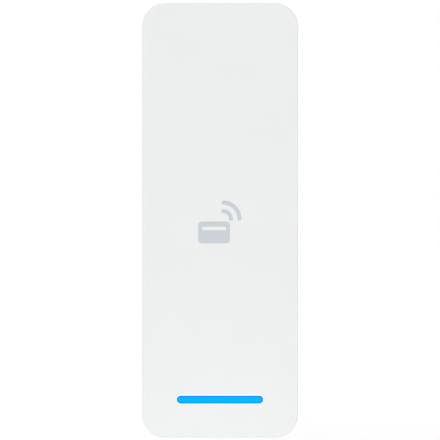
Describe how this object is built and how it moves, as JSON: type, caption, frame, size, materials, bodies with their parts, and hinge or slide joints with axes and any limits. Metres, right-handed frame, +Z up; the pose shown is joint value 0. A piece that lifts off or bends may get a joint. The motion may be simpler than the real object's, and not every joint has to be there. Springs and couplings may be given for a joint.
{
  "type": "rfid card reader",
  "caption": "Slim wall-mounted access card reader with a white rounded face, a lit bar near its base and a steel wall plate that it hooks on to.",
  "frame": {"origin": "centre of the wall plate's back face, on the wall", "axes": "+Z up along the reader, +Y into the wall, so the face looks along -Y, and +X to the right as seen from the front"},
  "size_m": [0.047, 0.0215, 0.131],
  "materials": {
    "white_shell": "white satin polycarbonate with a fine moulded grain",
    "face_print": "flat pale grey-blue ink, pad printed on the face",
    "light_bar": "frosted clear polycarbonate, lit blue from behind",
    "light_guide": "milky acrylic",
    "dark_plastic": "black moulded plastic",
    "circuit_board": "green solder mask over glass fibre",
    "led_package": "white package with a clear window",
    "connector": "cream connector plastic",
    "ribbon": "flat cable insulation",
    "antenna_film": "amber polyimide film",
    "copper": "etched copper",
    "ferrite": "dark grey sintered ferrite",
    "tin_plate": "tin-plated steel",
    "gold_plate": "gold-plated contacts",
    "capacitor": "shrunk sleeve",
    "seal": "grey silicone",
    "button_rubber": "grey silicone button",
    "label": "blank silver-grey label film",
    "vent": "woven vent membrane",
    "screw_steel": "zinc-plated steel",
    "spring_steel": "bright spring wire",
    "stainless_plate": "brushed stainless sheet",
    "stainless_screw": "bright stainless steel"
  },
  "bodies": {
    "bracket": {"wall_plate": "stainless_plate", "clinch_nut": "screw_steel"},
    "reader": {"front_cover": "white_shell", "rear_housing": "white_shell", "body_gasket": "seal", "vent_membrane": "vent", "rating_label": "label", "light_bar_lens": "light_bar", "light_guide": "light_guide", "light_baffle": "dark_plastic", "led_board": "circuit_board", "led_1": "led_package", "led_2": "led_package", "led_3": "led_package", "led_4": "led_package", "led_flex_connector": "connector", "led_board_screw_1": "screw_steel", "led_board_screw_2": "screw_steel", "flex_cable": "ribbon", "antenna_board": "antenna_film", "antenna_coil": "copper", "ferrite_sheet": "ferrite", "main_board": "circuit_board", "rf_shield": "tin_plate", "processor_chip": "dark_plastic", "memory_chip": "dark_plastic", "bluetooth_antenna": "connector", "ethernet_magnetics": "dark_plastic", "power_transformer": "ferrite", "power_inductor": "ferrite", "capacitor_1": "capacitor", "capacitor_2": "capacitor", "buzzer": "dark_plastic", "main_flex_connector": "connector", "board_screw_1": "screw_steel", "board_screw_2": "screw_steel", "board_screw_3": "screw_steel", "board_screw_4": "screw_steel", "rj45_jack": "tin_plate", "jack_contacts": "gold_plate", "jack_gasket": "seal", "reset_switch": "dark_plastic", "tamper_switch": "dark_plastic", "tamper_spring": "spring_steel", "housing_screw_1": "screw_steel", "housing_screw_2": "screw_steel", "housing_screw_3": "screw_steel", "housing_screw_4": "screw_steel"},
    "washer": {"screw_washer": "stainless_screw"},
    "screw": {"security_screw": "stainless_screw"},
    "reset": {"reset_button": "button_rubber", "reset_actuator": "connector"},
    "tamper": {"tamper_plunger": "dark_plastic"}
  },
  "joints": [
    {"name": "swing_off", "type": "hinge", "parent": "bracket", "child": "reader", "pos_m": [0, -0.0005, 0.064], "axis": [-1, 0, 0], "range_deg": [0, 12]},
    {"name": "screw_travel", "type": "slide", "parent": "bracket", "child": "washer", "axis": [0, 0, -1], "range_m": [0, 0.003]},
    {"name": "screw_turn", "type": "hinge", "parent": "washer", "child": "screw", "pos_m": [0, -0.0039, -0.0639], "axis": [0, 0, -1], "range_deg": [0, 2160]},
    {"name": "reset_press", "type": "slide", "parent": "reader", "child": "reset", "axis": [0, -1, 0], "range_m": [0, 0.0004], "stiffness_N_per_m": 800},
    {"name": "tamper_press", "type": "slide", "parent": "reader", "child": "tamper", "axis": [0, -1, 0], "range_m": [0, 0.0011], "stiffness_N_per_m": 300, "deforming": ["tamper_spring"]}
  ],
  "couplings": [
    {"joint": "screw_turn", "follows": "screw_travel", "rad_per_m": 12566}
  ]
}
